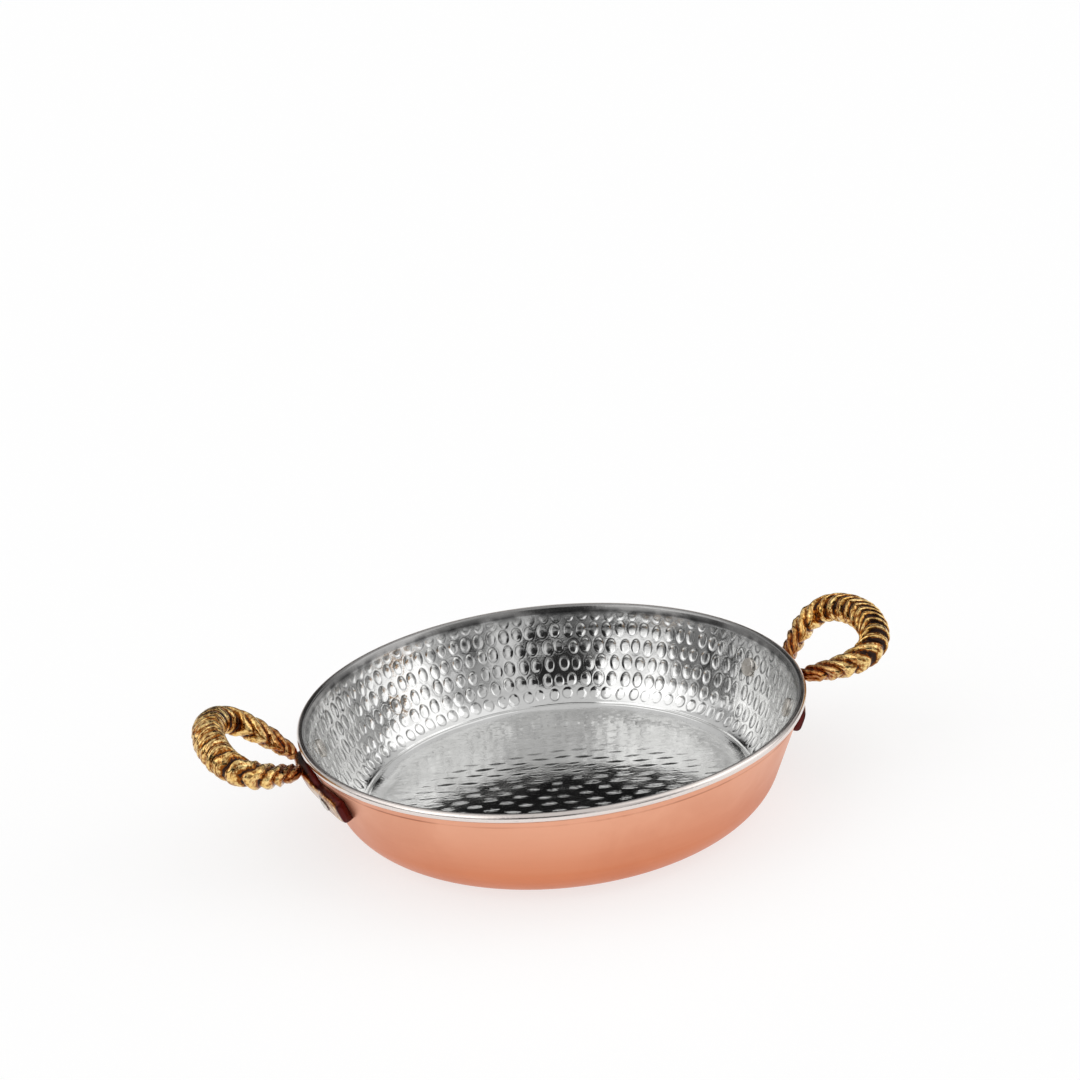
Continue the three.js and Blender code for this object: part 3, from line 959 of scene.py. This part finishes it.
def turned_lines_effect():
    """Fine lines that run round the pan's axis, as a lathe and a polishing wheel leave them"""
    given_values = {"Around": 12.0, "Across": 3000.0, "Contrast": 1.0}
    tree, given, result = effect("turned_lines", given_values, ["Lines"])
    place = on_pan(tree)
    axes = put(tree, "ShaderNodeSeparateXYZ", Vector=place).outputs
    radius = from_axis(tree, place)
    safe = reckon(tree, "MAXIMUM", radius, 0.002)
    side_x = times(tree, reckon(tree, "DIVIDE", axes["X"], safe), given["Around"])
    side_y = times(tree, reckon(tree, "DIVIDE", axes["Y"], safe), given["Around"])
    across = times(tree, reckon(tree, "ADD", radius, axes["Z"]), given["Across"])
    where = put(tree, "ShaderNodeCombineXYZ", X=side_x, Y=side_y, Z=across).outputs[0]
    centred = reckon(tree, "SUBTRACT", noise(tree, where, 1.0, 3.0, 0.6), 0.5)
    lines = reckon(tree, "ADD", times(tree, centred, given["Contrast"]), 0.5, clamp=True)
    tree.links.new(lines, result["Lines"])
    return tree


def handling_effect():
    """Smudges and small dull patches from handling, and a fine grain"""
    given_values = {"Smudge Scale": 30.0, "Grain Scale": 2500.0}
    tree, given, result = effect("handling_marks", given_values, ["Smudges", "Grain"])
    place = on_pan(tree)
    broad = noise(tree, place, given["Smudge Scale"], 4.0, 0.62, 0.6)
    tree.links.new(between(tree, broad, 0.35, 0.7), result["Smudges"])
    tree.links.new(noise(tree, place, given["Grain Scale"], 2.0, 0.6), result["Grain"])
    return tree


def scratches_effect():
    """Hairline scratches in two directions"""
    tree, given, result = effect("hairline_scratches", {"Scale": 60.0}, ["Scratches"])
    place = on_pan(tree)
    found = 0.0
    for turn in (0.6, 2.1):
        stretch = {"Rotation": (0.3, turn, turn), "Scale": (1.0, 26.0, 26.0)}
        leaning = put(tree, "ShaderNodeMapping", Vector=place, **stretch).outputs[0]
        hair = between(tree, noise(tree, leaning, given["Scale"], 1.0), 0.66, 0.74)
        found = reckon(tree, "MAXIMUM", found, hair)
    tree.links.new(found, result["Scratches"])
    return tree


turned_lines = turned_lines_effect()
handling_marks = handling_effect()
hairline_scratches = scratches_effect()


def use(tree, group, **inputs):
    return put(tree, "ShaderNodeGroup", {"node_tree": group}, **inputs).outputs


def start_material(name):
    """A metal with nothing else set"""
    material = bpy.data.materials.new(name)
    material.use_nodes = True
    tree = material.node_tree
    shader = tree.nodes["Principled BSDF"]
    shader.inputs["Metallic"].default_value = 1.0
    return material, tree, shader


def dress(tree, shader, tone, rough, relief, strength, distance):
    """Feeds a shader its colour, its roughness and a fine relief"""
    bump = put(tree, "ShaderNodeBump", Height=relief, Strength=strength, Distance=distance)
    feed(tree, shader.inputs["Base Color"], tone)
    feed(tree, shader.inputs["Roughness"], rough)
    feed(tree, shader.inputs["Normal"], bump.outputs[0])


def written(red, green, blue):
    """A colour as its 0 to 255 values, for a shader"""
    parts = [value / 255 for value in (red, green, blue)]
    return (*(((v + 0.055) / 1.055) ** 2.4 if v > 0.04 else v / 12.92 for v in parts), 1.0)


# Colours. The copper's low and high tones, the rim's inner grey, the tin's dark, and the brass's
# crest, flank and deep tones are painted light and shade.
COPPER_PAINTED_SHADE_LOW = written(212, 126, 84)
COPPER_PAINTED_LIGHT_HIGH = written(234, 172, 142)
COPPER_SMUDGE = written(196, 118, 84)
COPPER_BAND = written(238, 180, 148)
COPPER_TARNISH_AND_PAINTED_SHADE = written(150, 84, 56)
TIN = written(229, 229, 228)
TIN_SMUDGE = written(200, 200, 198)
TIN_PAINTED_SHADE = written(44, 44, 46)
TIN_SCRATCH = written(170, 169, 167)
RIM_INSIDE_PAINTED_SHADE = written(150, 149, 148)
RIM_OUTSIDE = written(230, 221, 216)
BRASS_WITH_PAINTED_HIGHLIGHT = written(255, 224, 156)
BRASS_SMUDGE = written(238, 188, 106)
BRASS_MOTTLE_AND_PAINTED_SHADE = written(136, 76, 22)
BRASS_ROOT = written(140, 58, 16)
BRASS_PAINTED_SHADE_AND_GRIME = written(38, 14, 3)
BRASS_PAINTED_SHADE_AT_WALL = written(84, 10, 5)
RIVET = written(214, 210, 204)
RIVET_SMUDGE = written(160, 150, 138)
RIVET_SCRATCH = written(110, 102, 94)

# Where a finish, a painted light or a painted shade changes, in metres: heights first, then distances
# from the pan's axis
COPPER_PAINTED_LIGHT_RISE = (0.002, 0.040)
TIN_DULLS = (0.033, 0.0375)
RIM_STARTS = (0.0397, 0.0405)
RIM_SHADE_ENDS = (0.0976, 0.0984)
PLATE_CLEARS_WALL = (0.0975, 0.1)
ROPE_ROOT_STARTS = (0.0985, 0.1005)
ROPE_ROOT_ENDS = (0.105, 0.118)
GROOVE_SHADE_REACH = (0.0002, 0.0005)


def satin_copper():
    material, tree, shader = start_material("satin_copper")
    lines = use(tree, turned_lines, Around=9.0, Across=5200.0, Contrast=1.6)["Lines"]
    bands = use(tree, turned_lines, Around=1.5, Across=260.0, Contrast=1.2)["Lines"]
    marks = use(tree, handling_marks, Smudge_Scale=22.0, Grain_Scale=3600.0)
    height = height_of(tree, on_pan(tree))
    # the copper is painted darker towards its foot and lighter towards its top: painted shade and
    # painted light
    tone = blended(tree, between(tree, height, *COPPER_PAINTED_LIGHT_RISE), COPPER_PAINTED_SHADE_LOW, COPPER_PAINTED_LIGHT_HIGH)
    tone = blended(tree, times(tree, marks["Smudges"], 0.22), tone, COPPER_SMUDGE)
    tone = blended(tree, times(tree, bands, 0.16), tone, COPPER_BAND)
    # tarnish and painted shade lie in the turned groove, more in some places than in others
    groove_height = (WALL_TOP[1] - GROOVE_DROP) * MM
    off_groove = reckon(tree, "ABSOLUTE", reckon(tree, "SUBTRACT", height, groove_height))
    in_groove = between(tree, off_groove, *GROOVE_SHADE_REACH, 1.0, 0.0)
    painted_shade_and_tarnish = times(tree, in_groove, reckon(tree, "ADD", 0.12, marks["Smudges"]))
    tone = blended(tree, times(tree, painted_shade_and_tarnish, 0.6, clamp=True), tone, COPPER_TARNISH_AND_PAINTED_SHADE)
    rough = in_parts(tree, 0.34, (marks["Smudges"], 0.07), (lines, 0.06))
    relief = in_parts(tree, 0.0, (lines, 0.6), (marks["Grain"], 0.4))
    dress(tree, shader, tone, rough, relief, 0.35, 0.00004)
    return material


def bright_tin():
    material, tree, shader = start_material("bright_tin")
    lines = use(tree, turned_lines, Around=14.0, Across=2600.0, Contrast=1.5)["Lines"]
    marks = use(tree, handling_marks, Smudge_Scale=48.0, Grain_Scale=1500.0)
    hairs = use(tree, hairline_scratches, Scale=70.0)["Scratches"]
    place = on_pan(tree)
    height = height_of(tree, place)
    tone = blended(tree, times(tree, marks["Smudges"], 0.35), TIN, TIN_SMUDGE)
    # the rim's inner side is painted a darker grey than its outer side, a painted shade
    outer_side = between(tree, from_axis(tree, place), *RIM_SHADE_ENDS)
    rim_tone = blended(tree, outer_side, RIM_INSIDE_PAINTED_SHADE, RIM_OUTSIDE)
    rim_share = times(tree, between(tree, height, *RIM_STARTS), reckon(tree, "ADD", 0.6, lines))
    tone = blended(tree, rim_share, tone, rim_tone)
    # painted shade lines the hammer marks' edges and the rim's foot, more in some places than in
    # others
    uneven = between(tree, noise(tree, place, 170.0, 1.0), 0.36, 0.64, 0.05, 0.8)
    painted_shade_and_tarnish = times(tree, kept_value(tree, "painted_shade_and_tarnish"), uneven, clamp=True)
    tone = blended(tree, painted_shade_and_tarnish, tone, TIN_PAINTED_SHADE)
    tone = blended(tree, times(tree, hairs, 0.3), tone, TIN_SCRATCH)
    dull = between(tree, height, *TIN_DULLS)
    rough = in_parts(tree, 0.05, (marks["Smudges"], 0.06), (dull, 0.1), (lines, 0.02))
    ripple = noise(tree, place, 760.0, 2.0)
    relief = in_parts(tree, 0.0, (lines, 0.15), (marks["Grain"], 0.15), (ripple, 0.7))
    dress(tree, shader, tone, rough, relief, 0.4, 0.0001)
    return material


def aged_brass():
    material, tree, shader = start_material("aged_cast_brass")
    marks = use(tree, handling_marks, Smudge_Scale=120.0, Grain_Scale=1400.0)
    hairs = use(tree, hairline_scratches, Scale=90.0)["Scratches"]
    place = on_pan(tree)
    away = from_axis(tree, place)
    pits = noise(tree, place, 900.0, 4.0, 0.7)
    lumps = noise(tree, place, 430.0, 1.0)
    # painted shade fills the grooves, with some dirt, and an uneven edge
    speckle = between(tree, pits, 0.38, 0.64, 0.16, -0.16)
    uneven = in_parts(tree, speckle, (reckon(tree, "SUBTRACT", 0.5, lumps), 0.8))
    # the kept groove value is the painted shade and tarnish of the rope and plate
    depth = reckon(tree, "ADD", kept_value(tree, "groove"), uneven)
    painted_shade_and_grime = between(tree, depth, 0.4, 0.75)
    # the crests keep the brass's painted highlight, the flanks get a painted shade mixed with mottle,
    # and the grooves the deepest painted shade
    tone = blended(tree, marks["Smudges"], BRASS_WITH_PAINTED_HIGHLIGHT, BRASS_SMUDGE)
    tone = blended(tree, between(tree, depth, -0.15, 0.38), tone, BRASS_MOTTLE_AND_PAINTED_SHADE)
    past_start = between(tree, away, *ROPE_ROOT_STARTS)
    rope_root = times(tree, past_start, between(tree, away, *ROPE_ROOT_ENDS, 1.0, 0.0))
    tone = blended(tree, times(tree, rope_root, 0.6), tone, BRASS_ROOT)
    # near the copper wall the painted shade is redder
    near_wall = between(tree, away, *PLATE_CLEARS_WALL, 1.0, 0.0)
    tone = blended(tree, painted_shade_and_grime, tone, blended(tree, near_wall, BRASS_PAINTED_SHADE_AND_GRIME, BRASS_PAINTED_SHADE_AT_WALL))
    feed(tree, shader.inputs["Metallic"], in_parts(tree, 1.0, (painted_shade_and_grime, -0.35)))
    rough = in_parts(tree, 0.08, (painted_shade_and_grime, 0.2), (hairs, 0.1))
    dress(tree, shader, tone, rough, in_parts(tree, lumps, (pits, 0.2)), 0.6, 0.0004)
    return material


def rivet_metal():
    material, tree, shader = start_material("rivet_metal")
    marks = use(tree, handling_marks, Smudge_Scale=300.0, Grain_Scale=2600.0)
    hairs = use(tree, hairline_scratches, Scale=240.0)["Scratches"]
    tone = blended(tree, times(tree, marks["Smudges"], 0.5), RIVET, RIVET_SMUDGE)
    tone = blended(tree, times(tree, hairs, 0.4), tone, RIVET_SCRATCH)
    rough = in_parts(tree, 0.2, (marks["Smudges"], 0.2))
    dress(tree, shader, tone, rough, marks["Grain"], 0.4, 0.0001)
    return material


def finish_piece(piece, material, node):
    piece.data.materials.clear()
    piece.data.materials.append(material)
    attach(piece, "root")
    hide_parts(node)


finish_piece(copper_body, satin_copper(), "copper_body")
finish_piece(bowl, bright_tin(), "tin_lining")
brass = aged_brass()
finish_piece(handle_right, brass, "handle_right")
finish_piece(handle_left, brass, "handle_left")
rivet_finish = rivet_metal()
for node, piece in rivets.items():
    finish_piece(piece, rivet_finish, node)


# The table: a plain pale floor with no edge in sight
FLOOR_HALF_WIDTH = 60000.0
FLOOR_DROP = 0.05
FLOOR_GLOW = 0.695


def pale_floor():
    corners = [(-1, -1, 0), (1, -1, 0), (1, 1, 0), (-1, 1, 0)]
    floor = make_piece("floor", np.array(corners) * FLOOR_HALF_WIDTH, [(0, 1, 2, 3)])
    floor.location.z = -FLOOR_DROP * MM
    material, _, shader = start_material("pale_table")
    look = {"Metallic": 0.0, "Roughness": 1.0, "Specular IOR Level": 0.0}
    glow = {"Emission Color": (1.0, 1.0, 1.0, 1.0), "Emission Strength": FLOOR_GLOW}
    for label, value in {"Base Color": (0.36, 0.36, 0.36, 1.0), **look, **glow}.items():
        shader.inputs[label].default_value = value
    floor.data.materials.append(material)


def towards(azimuth, elevation):
    """A direction in degrees, with azimuth 0 at the pan's front"""
    a, e = math.radians(azimuth), math.radians(elevation)
    return Vector((math.sin(a) * math.cos(e), -math.cos(a) * math.cos(e), math.sin(e)))


def soft_lamp(name, azimuth, elevation, strength, spread):
    lamp = bpy.data.lights.new(name, "SUN")
    lamp.energy = strength
    lamp.angle = math.radians(spread)
    holder = add_object(name, lamp)
    holder.rotation_mode = "QUATERNION"
    holder.rotation_quaternion = towards(azimuth, elevation).to_track_quat("Z", "Y")


# What is dark in the room: its azimuth from the camera's and its elevation, and how far off that
# direction it reaches and where it is full, in degrees. Then the rises of its lower and upper edge,
# as heights on a ball of radius 1, and how dark it is.
DARK_THINGS = (
    (180, 28, 38, 28, (0.27, 0.32), (0.57, 0.59), 0.98),
    (-9, 29, 20, 14, (0.26, 0.31), (0.55, 0.6), 0.96),
)


def studio():
    """A pale room with a dark far side and a dark stand by the camera, for the metal to show"""
    world = bpy.data.worlds.new("studio")
    bpy.context.scene.world = world
    world.use_nodes = True
    tree = world.node_tree
    way = put(tree, "ShaderNodeTexCoord").outputs["Generated"]
    height = height_of(tree, way)

    def facing(azimuth, elevation, low, high):
        """A share that rises with the cosine of the angle off a direction"""
        middle = towards(math.degrees(CAMERA_AZIMUTH) + azimuth, elevation)
        return between(tree, reckon_way(tree, "DOT_PRODUCT", way, middle)["Value"], low, high)

    clutter = between(tree, noise(tree, way, 3.4, 1.0), 0.36, 0.64)
    low_down = between(tree, height, 0.42, 0.6, 0.5, 0.0)
    level = in_parts(
        tree, 0.93,
        (between(tree, height, 0.0, 0.06), -0.7),
        (between(tree, height, 0.17, 0.32), 0.36),
        (between(tree, height, 0.5, 0.82), 0.12),
        (reckon(tree, "SUBTRACT", clutter, 0.45), low_down),
        (facing(84, 26, 0.86, 0.95), 0.75),
        (facing(-54, 31, 0.9, 0.97), 0.7),
    )
    for azimuth, elevation, reach, full, bottom, top, darkness in DARK_THINGS:
        low, high = math.cos(math.radians(reach)), math.cos(math.radians(full))
        below_top = between(tree, height, *top)
        upright = reckon(tree, "SUBTRACT", between(tree, height, *bottom), below_top)
        dark = times(tree, upright, facing(azimuth, elevation, low, high))
        level = times(tree, level, in_parts(tree, 1.0, (dark, -darkness)))
    sky = tree.nodes["Background"]
    feed(tree, sky.inputs["Color"], (1.0, 1.0, 1.0, 1.0))
    feed(tree, sky.inputs["Strength"], level)


def place_camera():
    back = towards(math.degrees(CAMERA_AZIMUTH), math.degrees(CAMERA_ELEVATION))
    straight = (-back).to_track_quat("-Z", "Y")
    focal = LENS / SENSOR * PHOTO_SIZE
    seen = Vector((AIM_PIXEL[0] - PHOTO_SIZE / 2, PHOTO_SIZE / 2 - AIM_PIXEL[1], -focal)).normalized()
    swing = Vector((0, 0, -1)).rotation_difference(seen)
    data = bpy.data.cameras.new("photo_camera")
    data.lens, data.sensor_width = LENS, SENSOR
    data.clip_start, data.clip_end = 0.01, 200.0
    camera = add_object("photo_camera", data)
    camera.rotation_mode = "QUATERNION"
    camera.location = Vector((0, 0, AIM_HEIGHT * MM)) + back * CAMERA_DISTANCE * MM
    camera.rotation_quaternion = straight @ Quaternion((0, 0, 1), CAMERA_ROLL) @ swing.inverted()
    bpy.context.scene.camera = camera


pale_floor()
soft_lamp("key", azimuth=-92, elevation=48, strength=0.36, spread=54)
soft_lamp("fill", azimuth=82, elevation=54, strength=0.18, spread=50)
studio()
place_camera()
bpy.context.scene.view_settings.view_transform = "Standard"
